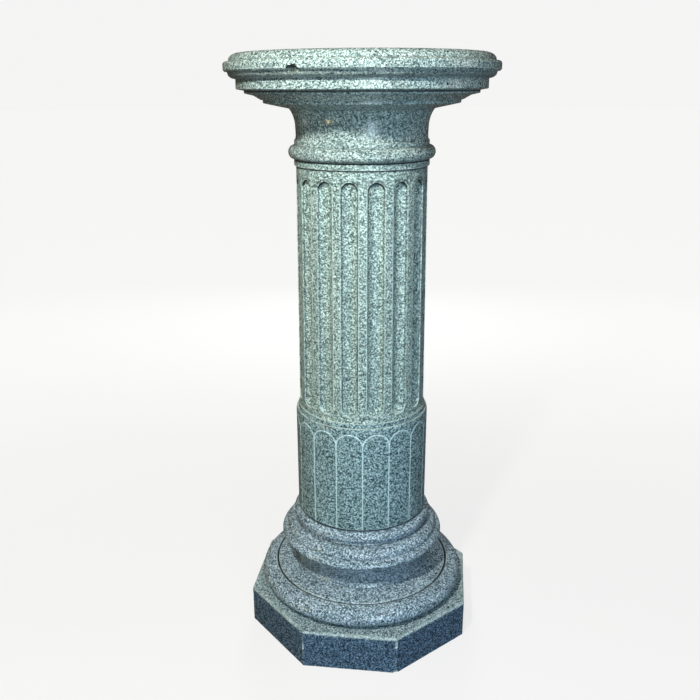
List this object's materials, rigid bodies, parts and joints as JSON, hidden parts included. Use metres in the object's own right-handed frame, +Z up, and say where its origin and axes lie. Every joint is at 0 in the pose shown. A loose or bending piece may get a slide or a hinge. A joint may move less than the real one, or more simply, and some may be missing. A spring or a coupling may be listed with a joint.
{
  "type": "fluted display column",
  "caption": "Round fluted stone column on an octagonal plinth, with a turned base, an arcaded drum and a flat-topped capital to stand a vase or bust on.",
  "frame": {"origin": "centre of the plinth's underside, on the floor", "axes": "+Z up along the column's axis; +X and +Y square to two of the plinth's eight sides"},
  "size_m": [0.4402, 0.4402, 1.0273],
  "materials": {
    "plinth_marble": "polished green marble, speckled dark and pale, worn pale along its arrises",
    "base_marble": "polished green marble, speckled dark and pale",
    "shaft_marble": "polished green marble, speckled dark and pale, with pale worn lines on the drum",
    "capital_marble": "polished green marble, speckled dark and pale, with small chips along the top slab"
  },
  "bodies": {
    "root": {"octagonal_plinth": "plinth_marble", "turned_base": "base_marble", "fluted_shaft": "shaft_marble", "capital": "capital_marble"}
  },
  "joints": []
}
